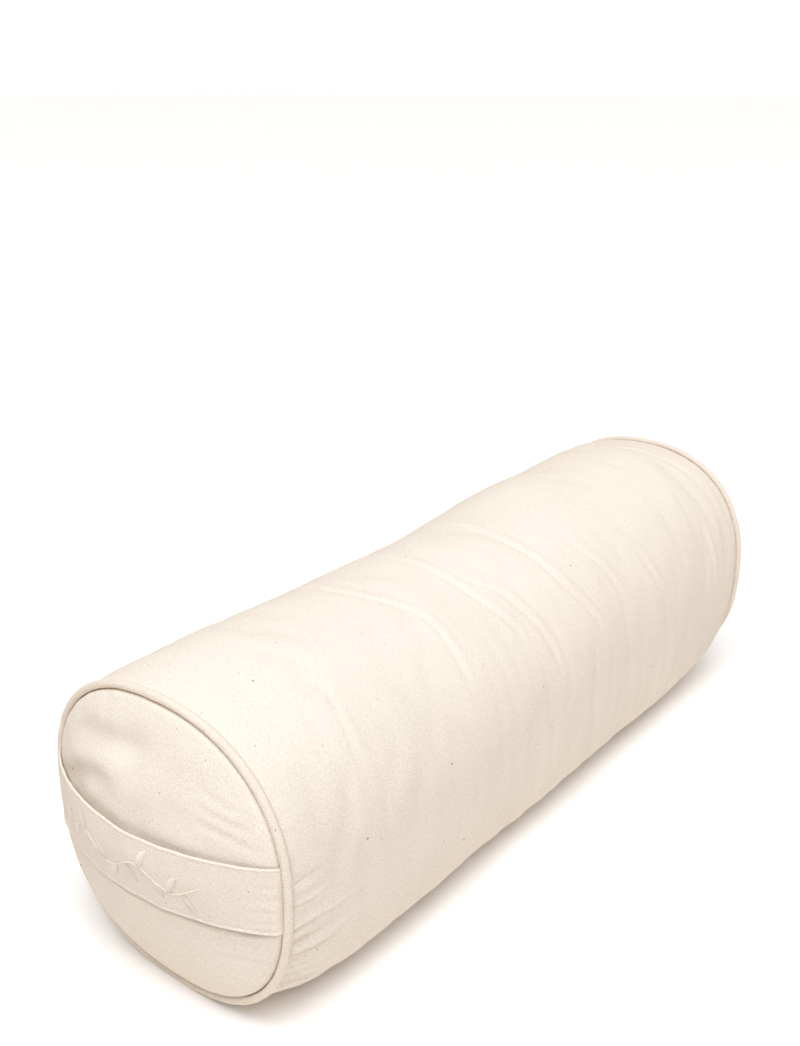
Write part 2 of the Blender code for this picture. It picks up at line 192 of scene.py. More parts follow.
def tuck(u):
    from_seam = (1 - np.abs(u)) * HALF_LENGTH
    return SEAM_DROP * np.exp(-((np.maximum(from_seam, 0) / TUCK_REACH) ** 1.2))


def round_points(u, angle, inset=0.0):
    """Points on the body at u and an angle round it, drawn in by inset. The arrays broadcast together."""
    from_seam = np.maximum((1 - np.abs(u)) * HALF_LENGTH, 0)
    seam_share = np.exp(-((from_seam / SEAM_REACH) ** 1.5))
    cosine, sine = np.cos(angle), np.sin(angle)
    upper = BODY_ROUNDNESS[0] + (SEAM_ROUNDNESS[0] - BODY_ROUNDNESS[0]) * seam_share
    lower = BODY_ROUNDNESS[1] + (SEAM_ROUNDNESS[1] - BODY_ROUNDNESS[1]) * seam_share
    power = np.where(sine >= 0, upper, lower)
    reach = (np.abs(cosine) ** power + np.abs(sine) ** power) ** (-1 / power)
    rise = np.where(sine >= 0, top_height(u) - WIDEST_Z, WIDEST_Z)
    x = (HALF_WIDTH - inset) * reach * cosine
    z = WIDEST_Z + (rise - inset) * reach * sine
    z = z - UNDERSIDE_PRESS * np.maximum(-sine, 0) * (1 - seam_share)
    lean = np.where(u < 0, END_LEAN[-1], END_LEAN[1])
    share = np.clip((np.abs(u) - 0.3) / 0.7, 0, 1) ** 2
    y = u * HALF_LENGTH + lean * (z - top_height(u) / 2) * share
    return np.stack(np.broadcast_arrays(x, y, z), -1)


def middle_outline():
    """Angles round the middle section, from -X over the top, and the length of outline up to each."""
    angle = np.linspace(math.pi, -math.pi, 4001)
    ring = round_points(np.zeros(1), angle)
    return angle, far_along(ring)


def outward(points):
    """Unit normals of a grid round the bolster, pointing away from its axis."""
    out = normals_of(points)
    away = points - np.array([0.0, 0.0, WIDEST_Z])
    away[..., 1] = 0
    return out * np.sign((out * away).sum(-1, keepdims=True))


def normals_of(points):
    """Unit normals of a grid of points."""
    normal = np.cross(np.gradient(points, axis=1), np.gradient(points, axis=0))
    return normal / np.maximum(np.linalg.norm(normal, axis=-1, keepdims=True), 1e-12)


# Meshes


def grid_object(name, points, plan, closed=False, closed_rows=False, flip=False):
    """A mesh on a grid of points. plan is each point's place on the flat cloth, in metres, as its UV map.

    closed joins the last column to the first, and plan then has one more column than points.
    """
    rows, columns = points.shape[:2]
    r = np.arange(rows if closed_rows else rows - 1)
    c = np.arange(columns if closed else columns - 1)
    r, c = [a.ravel() for a in np.meshgrid(r, c, indexing="ij")]
    r2, c2 = (r + 1) % rows, (c + 1) % columns
    corners = [(r, c), (r, c2), (r2, c2), (r2, c)]
    if flip:
        corners = corners[::-1]
    loops = np.stack([a * columns + b for a, b in corners], 1)
    last_row = plan.shape[0] - 1
    places = [(np.minimum(r, last_row), c), (np.minimum(r, last_row), c + 1)]
    places += [(np.minimum(r + 1, last_row), c + 1), (np.minimum(r + 1, last_row), c)]
    if flip:
        places = places[::-1]
    uv = np.stack([plan[a, np.minimum(b, plan.shape[1] - 1)] for a, b in places], 1)
    mesh = bpy.data.meshes.new(name)
    mesh.vertices.add(rows * columns)
    mesh.vertices.foreach_set("co", points.reshape(-1).astype(np.float32))
    mesh.loops.add(loops.size)
    mesh.loops.foreach_set("vertex_index", loops.ravel().astype(np.int32))
    mesh.polygons.add(len(loops))
    mesh.polygons.foreach_set("loop_start", np.arange(0, loops.size, 4, dtype=np.int32))
    layer = mesh.uv_layers.new(name="cloth")
    layer.data.foreach_set("uv", uv.reshape(-1).astype(np.float32))
    mesh.update(calc_edges=True)
    mesh.shade_smooth()
    obj = bpy.data.objects.new(name, mesh)
    bpy.context.scene.collection.objects.link(obj)
    return obj


def tubes(name, lines, radii, up, sides=6, closed=False):
    """One mesh of many tubes: lines and up are (tube, point, xyz), and radii (tube, point) or one number."""
    count, steps = lines.shape[:2]
    if closed:
        tangent = np.roll(lines, -1, 1) - np.roll(lines, 1, 1)
    else:
        tangent = np.gradient(lines, axis=1)
    across = np.cross(tangent, up)
    across /= np.maximum(np.linalg.norm(across, axis=-1, keepdims=True), 1e-12)
    raised = np.cross(across, tangent)
    raised /= np.maximum(np.linalg.norm(raised, axis=-1, keepdims=True), 1e-12)
    turn = np.linspace(0, 2 * math.pi, sides, endpoint=False)[:, None]
    size = np.broadcast_to(radii, (count, steps))[..., None, None]
    around = across[:, :, None] * np.cos(turn) + raised[:, :, None] * np.sin(turn)
    points = lines[:, :, None] + size * around
    far = far_along(lines[0])
    plan = np.stack(np.broadcast_arrays(far[:, None], np.linspace(0, 0.003, sides + 1)), -1)
    parts = []
    for k in range(count):
        part = grid_object(name, points[k], plan, closed=True, closed_rows=closed, flip=True)
        parts.append(part)
    return joined(name, parts)


def joined(name, parts):
    """The objects' meshes as one object."""
    if len(parts) > 1:
        with bpy.context.temp_override(active_object=parts[0], selected_editable_objects=parts):
            bpy.ops.object.join()
    parts[0].name = name
    return parts[0]


def finish_piece(obj, look, body="bolster", replaced=()):
    obj.data.materials.append(look)
    if body:
        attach(obj, body)
    if replaced:
        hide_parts(*replaced)
    return obj


# Materials


class Nodes:
    """Short names for building one material's nodes."""

    def __init__(self, name):
        self.material = bpy.data.materials.new(name)
        self.material.use_nodes = True
        self.tree = self.material.node_tree
        self.shader = self.tree.nodes["Principled BSDF"]

    def add(self, kind, inputs=None, **settings):
        node = self.tree.nodes.new(kind)
        for key, value in settings.items():
            setattr(node, key, value)
        for key, value in (inputs or {}).items():
            if isinstance(value, bpy.types.NodeSocket):
                self.tree.links.new(value, node.inputs[key])
            else:
                node.inputs[key].default_value = value
        return node

    def math(self, operation, a, b=0.0, c=0.0):
        node = self.add("ShaderNodeMath", {0: a, 1: b, 2: c}, operation=operation)
        return node.outputs[0]

    def mix(self, share, a, b):
        node = self.add("ShaderNodeMix", data_type="RGBA")
        for socket, value in ((0, share), (6, a), (7, b)):
            if isinstance(value, bpy.types.NodeSocket):
                self.tree.links.new(value, node.inputs[socket])
            else:
                node.inputs[socket].default_value = value
        return node.outputs[2]

    def place(self):
        return self.add("ShaderNodeTexCoord").outputs["Object"]

    def bump(self, height, strength, distance):
        inputs = {"Height": height, "Strength": strength, "Distance": distance}
        self.set("Normal", self.add("ShaderNodeBump", inputs).outputs[0])

    def set(self, name, value):
        if isinstance(value, bpy.types.NodeSocket):
            self.tree.links.new(value, self.shader.inputs[name])
        else:
            self.shader.inputs[name].default_value = value


def scaled(nodes, place, x, y):
    node = nodes.add("ShaderNodeMapping", {"Vector": place, "Scale": (x, y, 1.0)})
    return node.outputs[0]


def canvas(name, colour, yarn=0.00055, turned=0.0, weave=1.0, flecks=1.0):
    """Unbleached plain-weave cotton: crossing yarns, thick and thin by turns, and dark seed flecks."""
    n = Nodes(name)
    place = n.add("ShaderNodeUVMap", uv_map="cloth").outputs[0]
    if turned:
        place = n.add("ShaderNodeMapping", {"Vector": place, "Rotation": (0, 0, turned)}).outputs[0]
    split = n.add("ShaderNodeSeparateXYZ", {0: place}).outputs
    wander = n.add("ShaderNodeTexNoise", {"Vector": place, "Scale": 90.0, "Detail": 2.0}).outputs[0]
    sway = n.math("MULTIPLY", n.math("SUBTRACT", wander, 0.5), 0.0012)
    crossing = []
    for along in split[:2]:
        moved = n.math("ADD", along, sway)
        crossing.append(n.math("SINE", n.math("MULTIPLY", moved, math.pi / yarn)))
    knit = n.math("MULTIPLY", crossing[0], crossing[1])
    across, down = 1 / yarn, 1 / 0.0026
    thick = []
    for scale in ((across, down), (down, across)):
        stretched = scaled(n, place, *scale)
        noise = n.add("ShaderNodeTexNoise", {"Vector": stretched, "Scale": 1.0, "Detail": 1.0})
        thick.append(noise.outputs[0])
    yarns = n.math("ADD", thick[0], thick[1])
    grain = n.add("ShaderNodeTexNoise", {"Vector": place, "Scale": 1200.0, "Detail": 3.0}).outputs[0]
    clouds = n.add("ShaderNodeTexNoise", {"Vector": place, "Scale": 14.0, "Detail": 4.0}).outputs[0]

    dark = tuple(c * 0.80 for c in colour)
    light = tuple(min(c * 1.045, 1.0) for c in colour)
    tone = n.math("MULTIPLY", n.math("SUBTRACT", yarns, 1.0), 1.3)
    tone = n.math("ADD", tone, n.math("MULTIPLY", n.math("SUBTRACT", grain, 0.5), 2.0))
    tone = n.math("ADD", tone, n.math("MULTIPLY", n.math("SUBTRACT", clouds, 0.5), 0.35))
    tone = n.add("ShaderNodeClamp", {0: n.math("ADD", tone, 0.62)}).outputs[0]
    base = n.mix(tone, (*dark, 1), (*light, 1))
    for cells, size, share, strength in ((55.0, 0.037, 0.80, 0.80), (120.0, 0.056, 0.50, 0.50)):
        spots = n.add("ShaderNodeTexVoronoi", {"Vector": place, "Scale": cells, "Randomness": 1.0})
        pick = n.add("ShaderNodeSeparateColor", {0: spots.outputs["Color"]}).outputs
        radius = n.math("MULTIPLY", n.math("ADD", pick[1], 0.35), size)
        inside = n.math("LESS_THAN", spots.outputs["Distance"], radius)
        chosen = n.math("LESS_THAN", pick[0], share)
        spot = n.math("MULTIPLY", n.math("MULTIPLY", inside, chosen), strength * flecks)
        base = n.mix(spot, base, (0.24, 0.13, 0.06, 1))
    n.set("Base Color", base)
    height = n.math("ADD", n.math("MULTIPLY", knit, 0.5 * weave), n.math("MULTIPLY", yarns, 0.8))
    height = n.math("ADD", height, n.math("MULTIPLY", grain, 0.5))
    n.bump(height, 0.8, 0.00020)
    rough = n.math("ADD", n.math("MULTIPLY", grain, 0.1), 0.86)
    n.set("Roughness", rough)
    n.set("Sheen Weight", 0.02)
    n.set("Sheen Roughness", 0.5)
    n.set("Specular IOR Level", 0.02)
    return n.material


def thread(name, colour):
    """Twisted sewing thread."""
    n = Nodes(name)
    place = n.place()
    twist = n.add("ShaderNodeTexWave", {"Vector": place, "Scale": 900.0, "Distortion": 1.5}).outputs[1]
    n.set("Base Color", n.mix(twist, (*(c * 0.82 for c in colour), 1), (*colour, 1)))
    n.bump(twist, 0.4, 0.0001)
    n.set("Roughness", 0.62)
    n.set("Sheen Weight", 0.3)
    return n.material


def cotton(name, colour, scale=1500.0):
    """Plain light cotton, for what lies inside the cover."""
    n = Nodes(name)
    place = n.place()
    weave = n.add("ShaderNodeTexNoise", {"Vector": place, "Scale": scale, "Detail": 2.0}).outputs[0]
    clouds = n.add("ShaderNodeTexNoise", {"Vector": place, "Scale": 30.0, "Detail": 3.0}).outputs[0]
    tone = n.math("ADD", n.math("MULTIPLY", weave, 0.5), n.math("MULTIPLY", clouds, 0.5))
    n.set("Base Color", n.mix(tone, (*(c * 0.85 for c in colour), 1), (*colour, 1)))
    n.bump(weave, 0.5, 0.0001)
    n.set("Roughness", 0.92)
    return n.material


def tape_cloth(name, colour):
    """Zip tape: fine ribs along it, with herringbone rows across."""
    n = Nodes(name)
    place = n.place()
    split = n.add("ShaderNodeSeparateXYZ", {0: place}).outputs
    ribs = n.math("SINE", n.math("MULTIPLY", split[2], 2 * math.pi / 0.0009))
    folded = n.math("PINGPONG", split[2], 0.0009)
    slant = n.math("ADD", split[1], folded)
    rows = n.math("SINE", n.math("MULTIPLY", slant, 2 * math.pi / 0.0007))
    height = n.math("ADD", n.math("MULTIPLY", ribs, 0.4), n.math("MULTIPLY", rows, 0.6))
    tone = n.math("ADD", n.math("MULTIPLY", height, 0.3), 0.6)
    n.set("Base Color", n.mix(tone, (*(c * 0.82 for c in colour), 1), (*colour, 1)))
    n.bump(height, 0.6, 0.00015)
    n.set("Roughness", 0.8)
    return n.material


def nylon(name, colour):
    n = Nodes(name)
    place = n.place()
    grain = n.add("ShaderNodeTexNoise", {"Vector": place, "Scale": 400.0, "Detail": 2.0}).outputs[0]
    n.set("Base Color", n.mix(grain, (*(c * 0.9 for c in colour), 1), (*colour, 1)))
    n.set("Roughness", n.math("ADD", n.math("MULTIPLY", grain, 0.2), 0.28))
    n.set("Subsurface Weight", 0.1)
    return n.material


def nickel(name):
    """Dull cast nickel plating, a little scuffed."""
    n = Nodes(name)
    place = n.place()
    cast = n.add("ShaderNodeTexNoise", {"Vector": place, "Scale": 900.0, "Detail": 4.0}).outputs[0]
    stretched = scaled(n, place, 300.0, 2500.0)
    scuffs = n.add("ShaderNodeTexNoise", {"Vector": stretched, "Scale": 1.0}).outputs[0]
    n.set("Base Color", n.mix(cast, (0.50, 0.48, 0.44, 1), (0.68, 0.66, 0.62, 1)))
    n.set("Metallic", 1.0)
    n.set("Roughness", n.math("ADD", n.math("MULTIPLY", scuffs, 0.25), 0.22))
    n.bump(cast, 0.25, 0.0001)
    return n.material


def hulls(name):
    """Loose grain hulls: small curled flakes of several browns."""
    n = Nodes(name)
    place = n.place()
    cells = n.add("ShaderNodeTexVoronoi", {"Vector": place, "Scale": 230.0, "Randomness": 1.0})
    pick = n.add("ShaderNodeSeparateColor", {0: cells.outputs["Color"]}).outputs[0]
    n.set("Base Color", n.mix(pick, (0.07, 0.040, 0.025, 1), (0.30, 0.19, 0.11, 1)))
    height = n.math("SUBTRACT", 1.0, cells.outputs["Distance"])
    n.bump(height, 0.9, 0.0012)
    n.set("Roughness", 0.6)
    return n.material


# Pieces of the cover


CREASES = (
    # (angle in degrees, y in metres) down each crease, half width, depth
    (((66, -0.250), (56, -0.241), (46, -0.245), (32, -0.248)), 0.0034, 0.0005),
    (((120, -0.138), (96, -0.143), (80, -0.134), (68, -0.122), (34, -0.123)), 0.0032, 0.0007),
    (((98, -0.064), (80, -0.065), (62, -0.063), (38, -0.048)), 0.0030, 0.0010),
    (((68, -0.055), (58, -0.040), (44, -0.031), (30, -0.022), (14, -0.016)), 0.0034, 0.0009),
    (((100, 0.022), (76, 0.019), (60, 0.022), (44, 0.027), (34, 0.036), (24, 0.047)), 0.0030, 0.0014),
    (((58, 0.068), (50, 0.075), (40, 0.084), (26, 0.093)), 0.0036, 0.0007),
    (((36, 0.139), (28, 0.145), (17, 0.155)), 0.0036, 0.0006),
    (((28, 0.256), (20, 0.259), (8, 0.261)), 0.0032, 0.0007),
    (((92, 0.258), (82, 0.270), (72, 0.279), (58, 0.288)), 0.0040, 0.0010),
)


SEAM_PULLS = (
    # (angle round the front seam, how far the pull runs into the wrap, depth)
    (24, 0.016, 0.0003),
    (5, 0.022, 0.0005),
    (-4, 0.034, 0.0008),
    (-13, 0.050, 0.0011),
    (-17, 0.026, 0.0010),
    (-23, 0.044, 0.0013),
    (-28, 0.026, 0.0010),
    (-35, 0.036, 0.0012),
    (-41, 0.022, 0.0010),
    (-48, 0.030, 0.0011),
    (-57, 0.020, 0.0009),
)


def crease_depth(angle, y):
    """How far the creases push the cover: each is a valley with a lower ridge on its +Y side."""
    degrees = np.degrees(angle)
    total = np.zeros(np.broadcast(angle, y).shape)
    for points, width, depth in CREASES:
        low, high = min(p[0] for p in points), max(p[0] for p in points)
        fade = smooth_step(degrees, low - 7, low + 9) * (1 - smooth_step(degrees, high - 9, high + 7))
        off = y - through(points, degrees)
        shape = bell(off, width) - 0.75 * bell(off - 1.9 * width, 1.2 * width)
        total -= depth * fade * shape
    return total


def settled_cloth(rows=104, columns=132):
    """How a wrap a little too large for its filling settles: a push at places (y, share round).

    A cloth tube, pinned at both seams and on the floor, grows and is blown up a little. Only its short
    wrinkles are kept, because the bolster's shape is already that of a filled one.
    """
    angle, length = middle_outline()
    share = np.arange(columns) / columns
    around = np.interp(share * length[-1], length, angle)[None, :]
    y = np.linspace(-HALF_LENGTH + 0.004, HALF_LENGTH - 0.004, rows)
    u = (y / HALF_LENGTH)[:, None]
    start = round_points(u, around, tuck(u))
    out = outward(start)
    unrest = 0.0007 * waves(2, 30, (3, 18), (0.03, 0.12), share[None, :], y[:, None])
    start = start + out * unrest[..., None]
    tube = grid_object("settling_cloth", start, start[..., :2], closed=True)
    held = np.zeros((rows, columns), bool)
    held[[0, -1]] = True
    held |= start[..., 2] < 0.0025
    pins = tube.vertex_groups.new(name="pins")
    pins.add([int(i) for i in np.flatnonzero(held)], 1.0, "REPLACE")
    cloth = tube.modifiers.new("cloth", "CLOTH")
    settings = cloth.settings
    settings.quality = 6
    settings.mass = 0.3
    settings.tension_stiffness = 25
    settings.compression_stiffness = 25
    settings.shear_stiffness = 12
    settings.bending_stiffness = 0.6
    settings.shrink_min = -0.022
    settings.use_pressure = True
    settings.uniform_pressure_force = 4
    settings.effector_weights.gravity = 0
    settings.vertex_group_mass = "pins"
    cloth.collision_settings.use_collision = False
    scene = bpy.context.scene
    for step in range(1, 21):
        scene.frame_set(step)
    settled = tube.evaluated_get(bpy.context.evaluated_depsgraph_get()).data
    places = np.empty(rows * columns * 3, np.float32)
    settled.vertices.foreach_get("co", places)
    scene.frame_set(1)
    bpy.data.objects.remove(tube)
    push = ((places.reshape(rows, columns, 3) - start) * out).sum(-1) + unrest
    return y, share, push - smoothed(push, 11)


def smoothed(grid, size):
    """A grid averaged over its neighbours. Its columns join up, and its rows stop at the ends."""
    for _ in range(3):
        grid = sum(np.roll(grid, k, 1) for k in range(-size, size + 1)) / (2 * size + 1)
        padded = np.pad(grid, ((size, size), (0, 0)), mode="edge")
        grid = sum(padded[k : k + grid.shape[0]] for k in range(2 * size + 1)) / (2 * size + 1)
    return grid


def looked_up(y, share, grid, at_y, at_share):
    """Values of a grid of (y, share round) at other places."""
    i = np.clip((at_y - y[0]) / (y[1] - y[0]), 0, len(y) - 1.001)
    j = at_share * len(share)
    i0, j0 = np.floor(i).astype(int), np.floor(j).astype(int)
    fi, fj = i - i0, j - j0
    columns = len(share)
    low = grid[i0, j0 % columns] * (1 - fj) + grid[i0, (j0 + 1) % columns] * fj
    high = grid[i0 + 1, j0 % columns] * (1 - fj) + grid[i0 + 1, (j0 + 1) % columns] * fj
    return low * (1 - fi) + high * fi


def wrap_push(y, share, angle):
    """How far the wrap stands out from the plain body, at places round it."""
    degrees = np.degrees(angle)
    from_seam = HALF_LENGTH - np.abs(y)
    push = crease_depth(angle, y)
    push = push + 0.0010 * waves(3, 16, (1, 3), (0.11, 0.26), share, y) * (1 - 0.5 * bell(from_seam, 0.03))
    push = push + 0.00022 * waves(5, 22, (2, 7), (0.035, 0.08), share, y)
    push = push + 0.00014 * waves(7, 26, (1, 5), (0.014, 0.030), share, y)
    places, shares, settled = settled_cloth()
    settled = np.clip(settled * SETTLED_SHARE, -SETTLED_LIMIT, SETTLED_LIMIT)
    push = push + looked_up(places, shares, settled, y, share)

    # Gathers beside the end seams, deepest low on the +X side of the front.
    gather = waves(11, 14, (30, 64), (0.15, 0.9), share, y)
    low_front = bell(degrees + 24, 26) * (y < 0)
    size = 0.00022 + 0.0015 * low_front + 0.0003 * bell(degrees + 90, 70)
    reach = 0.012 + 0.022 * low_front
    fade = np.exp(-from_seam / reach) * smooth_step(from_seam, 0.002, 0.009)
    push = push + size * gather * fade
    for angle_at, reach, depth in SEAM_PULLS:
        off = np.radians(degrees - angle_at) * HALF_WIDTH
        wander = 0.0012 * np.sin(from_seam / 0.009 + angle_at)
        fade = np.exp(-((from_seam / reach) ** 2)) * (y < 0)
        push = push - depth * bell(off - wander, 0.0013) * fade
        push = push + 0.7 * depth * bell(off - wander - 0.0030, 0.0020) * fade
    return push


def cover_wrap():
    """The wrap, from the zip's upper hem over the top and round to its lower hem. Its edges turn in."""
    angles, length = middle_outline()
    around = length[-1]
    rounded = HEM_ROLL * (1 - np.cos(np.linspace(0, math.pi / 2, 6)[:-1]))
    near_hem = np.concatenate([[0, 0, 0], rounded, np.arange(HEM_ROLL, 0.0082, 0.00045)])
    inward = np.zeros(len(near_hem))
    inward[:3] = (0.0034, 0.0024, 0.0014)
    start = np.concatenate([near_hem, [0.0092, 0.0108, 0.0132]])
    pulled = np.interp(np.radians((-64.0, 40.0)), angles[::-1], length[::-1])[::-1]
    coarse = np.linspace(0.0155, pulled[0], 150), np.linspace(pulled[1], around - 0.0155, 110)
    fine = np.linspace(*pulled, 260)[1:-1]
    from_upper = np.concatenate([start, coarse[0], fine, coarse[1], (around - start)[::-1]])
    depth = np.concatenate([inward, np.zeros(len(from_upper) - 2 * len(inward)), inward[::-1]])[None, :]

    near_seam = HALF_LENGTH - np.array([0.0031, 0.0034, 0.0038, 0.0043, 0.0050, 0.0059, 0.0070, 0.0084])
    last = HALF_LENGTH - 0.0100
    zip_end = ZIP_HALF + np.linspace(-0.0015, 0.0015, 7)
    middle = np.linspace(-last, last, 420)
    middle = middle[np.abs(np.abs(middle) - ZIP_HALF) > 0.0018]
    y = np.sort(np.concatenate([-near_seam, middle, near_seam, -zip_end, zip_end]))[:, None]
    in_zip = 1 - smooth_step(np.abs(y), ZIP_HALF - 0.0012, ZIP_HALF + 0.0012)
    opening = 0.0001 + SLOT_HALF * in_zip
    along = opening + from_upper[None, :] * (around - 2 * opening) / around
    share = along / around
    angle = np.interp(along, length, angles)
    u = y / HALF_LENGTH
    points = round_points(u, angle, tuck(u))
    out = outward(points)

    push = wrap_push(y, share, angle)
    from_hem = np.minimum(from_upper, around - from_upper)[None, :]
    hem_band = smooth_step(from_hem, 0.030, 0.012)
    push = push * (1 - 0.75 * hem_band)
    roll = np.clip(HEM_ROLL - from_hem, 0, HEM_ROLL)
    push = push - (HEM_ROLL - np.sqrt(np.maximum(HEM_ROLL**2 - roll**2, 0)))
    push = push + 0.0005 * bell(from_hem - 0.0026, 0.0020) * in_zip
    push = push - 0.0006 * bell(from_hem - HEM_STITCH, 0.0007) * in_zip
    push = push + 0.0003 * bell(from_hem - 0.0030, 0.0020) * (1 - in_zip)

    # The cloth rolls down into the seam beside the piping.
    from_seam = HALF_LENGTH - np.abs(y)
    drop = np.where(y < 0, 0.0018, 0.0010)
    push = push - drop * np.exp(-np.maximum(from_seam - 0.0034, 0) / 0.0009)
    points = points + out * (push - depth)[..., None]
    points[..., 2] = np.maximum(points[..., 2], 0.0)
    plan = np.stack(np.broadcast_arrays(along, y), -1)
    stitched = int(np.argmin(np.abs(from_upper - HEM_STITCH)))
    rows = np.abs(y[:, 0]) < ZIP_HALF + 0.012
    seams = [(points[rows, k], out[rows, k]) for k in (stitched, len(from_upper) - 1 - stitched)]
    return grid_object("canvas_wrap", points, plan), seams


def ring_line(end, count, inset=PIPING_INSET):
    """Evenly spaced points along an end seam, each with its direction out from the seam's middle.

    Also the direction away from the bolster's middle, each point's distance along, and the whole length.
    """
    fine = np.linspace(math.pi, -math.pi, 2881)[:-1]
    ring = round_points(np.array([float(end)]), fine, inset)
    closed = np.concatenate([ring, ring[:1]])
    length = far_along(closed)
    wanted = np.linspace(0, length[-1], count + 1)[:-1]
    line = np.stack([np.interp(wanted, length, closed[:, k]) for k in range(3)], 1)
    tangent = np.roll(line, -1, 0) - np.roll(line, 1, 0)
    tangent /= np.linalg.norm(tangent, axis=1, keepdims=True)
    plane = np.cross(line - line.mean(0), tangent).mean(0)
    plane /= np.linalg.norm(plane)
    out = np.cross(tangent, plane)
    out *= np.sign((out * (line - line.mean(0))).sum(1, keepdims=True))
    line[:, 2] = np.maximum(line[:, 2], PIPING_RADIUS)
    return line, out, plane * np.sign(plane[1]) * end, wanted, length[-1]


def piping(end):
    line, out, away, where, around = ring_line(end, 560)
    turn = np.linspace(0, 2 * math.pi, 20, endpoint=False)
    share = (where / around)[:, None]
    swell = 1 + 0.035 * waves(21 + end, 14, (12, 60), (9, 10), share, 0 * share)
    radius = PIPING_RADIUS * swell * (1 - 0.05 * np.cos(2 * turn)[None, :])
    points = (
        line[:, None]
        + out[:, None] * (np.cos(turn)[None, :] * radius)[..., None]
        + away[None, None] * (np.sin(turn)[None, :] * radius)[..., None]
    )
    turns = np.append(turn, 2 * math.pi)
    plan = np.stack(np.broadcast_arrays(where[:, None] + 0 * turns, turns[None, :] * PIPING_RADIUS), -1)
    plan = np.concatenate([plan, plan[:1] + np.array([around, 0])])
    name = f"{END_NAMES[end]}_piping"
    return grid_object(name, points, plan, closed=True, closed_rows=True, flip=end > 0)


def crown(share):
    return np.maximum(1 - share**2, 0.0) ** CROWN_POWER


def end_panel(end):
    line, _, away, where, around = ring_line(end, 600)
    middle = (line.max(0) + line.min(0)) / 2
    middle[0] = 0.0
    rim_gap = PIPING_RADIUS + 0.0001
    edge_shares = np.array([0.0, 0.0002, 0.0004, 0.0007, 0.0011, 0.0016, 0.0023, 0.0033, 0.0048])
    rows = np.concatenate([edge_shares, np.linspace(0.0062, 0.098, 100), [0.1015, 0.1045, 0.106]])
    spokes = line - middle
    radius = np.linalg.norm(spokes, axis=1, keepdims=True)
    grid = []
    for row in rows:
        share = (radius - rim_gap - row * (radius - rim_gap) / PANEL_RADIUS) / radius
        flat = middle + spokes * share
        grid.append(flat + away * END_BULGE[end] * crown(share))
    points = np.array(grid)
    x, z = points[..., 0], points[..., 2]
    from_rim = rows[:, None]
    if end < 0:
        push = front_panel_push(x, z)
    else:
        push = rear_panel_push(x, z)
    t = (where / around)[None, :]
    gather = waves(31 + end, 12, (24, 46), (9, 10), t, 0 * t)
    push = push * smooth_step(from_rim, 0.0, 0.02) + 0.00035 * gather * np.exp(-from_rim / 0.012)
    push = push - 0.0036 * np.exp(-from_rim / 0.00055)
    points = points + away * push[..., None]
    tip = points[-1].mean(0)
    points = np.concatenate([points, np.broadcast_to(tip, points[-1:].shape)])
    points[..., 2] = np.maximum(points[..., 2], 0.0008)
    plan = closed_plan(np.stack([points[..., 0], points[..., 2]], -1))
    return grid_object(f"{END_NAMES[end]}_end_cloth", points, plan, closed=True, flip=end < 0)


def valley(x, z, start, stop, width, depth):
    """A soft straight fold between two points of the end panel."""
    a, b = np.array(start), np.array(stop)
    d = b - a
    t = ((x - a[0]) * d[0] + (z - a[1]) * d[1]) / (d @ d)
    off = ((x - a[0]) * -d[1] + (z - a[1]) * d[0]) / math.sqrt(d @ d)
    fade = smooth_step(t, -0.35, 0.25) * (1 - smooth_step(t, 0.75, 1.35))
    return -depth * fade * bell(off, width)


def front_panel_push(x, z):
    push = 0.0010 * patches(51, 18, (0.06, 0.13), x, z) + 0.00045 * patches(52, 20, (0.022, 0.045), x, z)
    under_strap = STRAP_Z - STRAP_WIDTH / 2 - z
    push = push - 0.0013 * bell(under_strap - 0.0012, 0.0017) + 0.0007 * bell(under_strap - 0.0060, 0.0040)
    push = push + valley(x, z, (-0.062, 0.176), (0.000, 0.188), 0.010, 0.0040)
    push = push + valley(x, z, (-0.080, 0.140), (-0.034, 0.160), 0.009, 0.0038)
    push = push - valley(x, z, (-0.066, 0.156), (-0.015, 0.173), 0.008, 0.0020)
    for k in range(3):
        rise = 0.009 * k
        push = push + valley(x, z, (0.060, 0.177 - rise), (0.100, 0.166 - rise), 0.0032, 0.0008)
    for k in range(3):
        drop = 0.012 * k
        push = push + valley(x, z, (0.066, 0.088 - drop), (0.102, 0.092 - drop), 0.0036, 0.0009)
    return push


def rear_panel_push(x, z):
    push = 0.0010 * patches(41, 18, (0.05, 0.12), x, z) + 0.0005 * patches(42, 18, (0.02, 0.04), x, z)
    push = push + valley(x, z, (0.020, 0.196), (0.072, 0.172), 0.010, 0.0030)
    push = push + valley(x, z, (-0.078, 0.085), (-0.040, 0.062), 0.010, 0.0026)
    push = push - valley(x, z, (-0.070, 0.105), (-0.030, 0.078), 0.008, 0.0014)
    return push


def front_dome(x, z):
    """How far the front panel stands out of its seam plane at a point."""
    line, *_ = ring_line(-1, 720)
    middle_z = (line[:, 2].max() + line[:, 2].min()) / 2
    polar = np.arctan2(line[:, 2] - middle_z, line[:, 0])
    radius = np.hypot(line[:, 0], line[:, 2] - middle_z)
    order = np.argsort(polar)
    rim = np.interp(np.arctan2(z - middle_z, x), polar[order], radius[order], period=2 * math.pi)
    share = np.minimum(np.hypot(x, z - middle_z) / rim, 1.0)
    lean = END_LEAN[-1] * (z - middle_z)
    return HALF_LENGTH - lean + END_BULGE[-1] * crown(share)


def strap_base(x, z):
    """How far out along -Y the strap's inner face lies. Its lower edge lies nearer to the panel."""
    across = (z - STRAP_Z) / (STRAP_WIDTH / 2)
    share = np.maximum(1 - (x / STRAP_END) ** 2, 0) ** 1.4
    raised = 0.14 + 0.86 * smooth_step(across, -1.0, 0.5)
    rest = STRAP_SEAM_LIFT + (STRAP_LIFT - STRAP_SEAM_LIFT) * share * raised
    return front_dome(x, z) + rest


